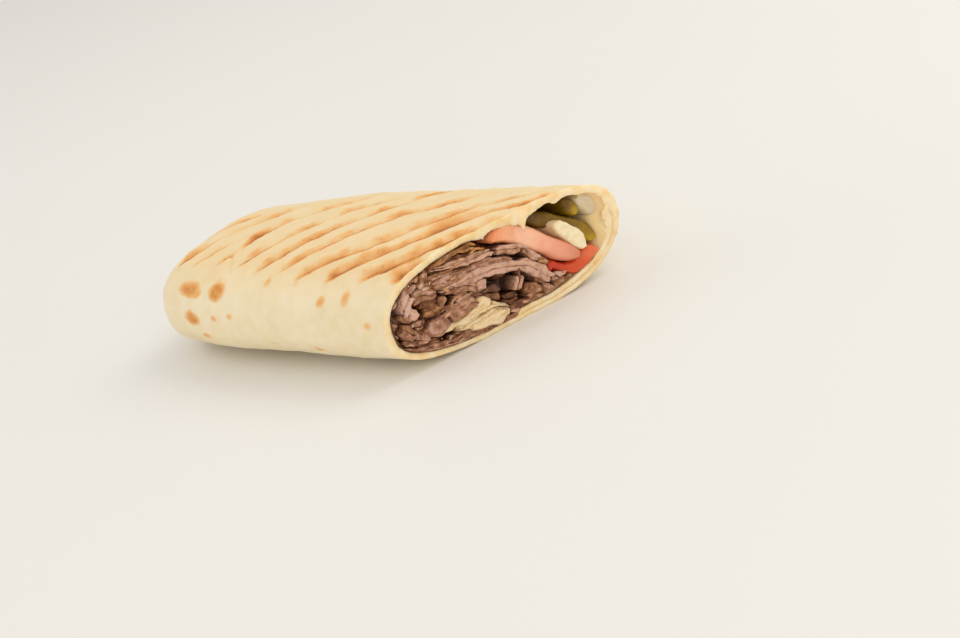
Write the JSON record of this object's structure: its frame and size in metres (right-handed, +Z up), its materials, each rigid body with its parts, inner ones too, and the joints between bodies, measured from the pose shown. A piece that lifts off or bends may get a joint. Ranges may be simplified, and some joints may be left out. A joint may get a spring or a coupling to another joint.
{
  "type": "doner durum",
  "caption": "Half of a grilled flatbread roll, folded shut at one end and cut across at a slant to show sliced meat, tomato, pickle, onion, a fry and lettuce; lies flat.",
  "frame": {"origin": "on the surface it lies on, under the middle of the part's box", "axes": "+X along the roll from the folded end to the cut, +Y towards the roll's longer side, +Z up"},
  "size_m": [0.1593, 0.0829, 0.035],
  "materials": {
    "bread": "soft wheat flatbread, matt and cream, with browned grill stripes and a few toasted spots",
    "meat": "moist sliced roast meat, pinkish brown with dark seared edges",
    "tomato": "wet tomato flesh, salmon pink to red",
    "pickle": "wet olive-green pickled cucumber",
    "onion": "translucent pale onion",
    "fry": "soft fried potato, cream inside with a golden edge",
    "lettuce": "pale yellow-green crisp leaf"
  },
  "bodies": {
    "root": {"flatbread": "bread", "meat": "meat", "tomato_slice_1": "tomato", "tomato_slice_2": "tomato", "pickle_1": "pickle", "pickle_2": "pickle", "onion": "onion", "fry": "fry", "lettuce": "lettuce"}
  },
  "joints": []
}
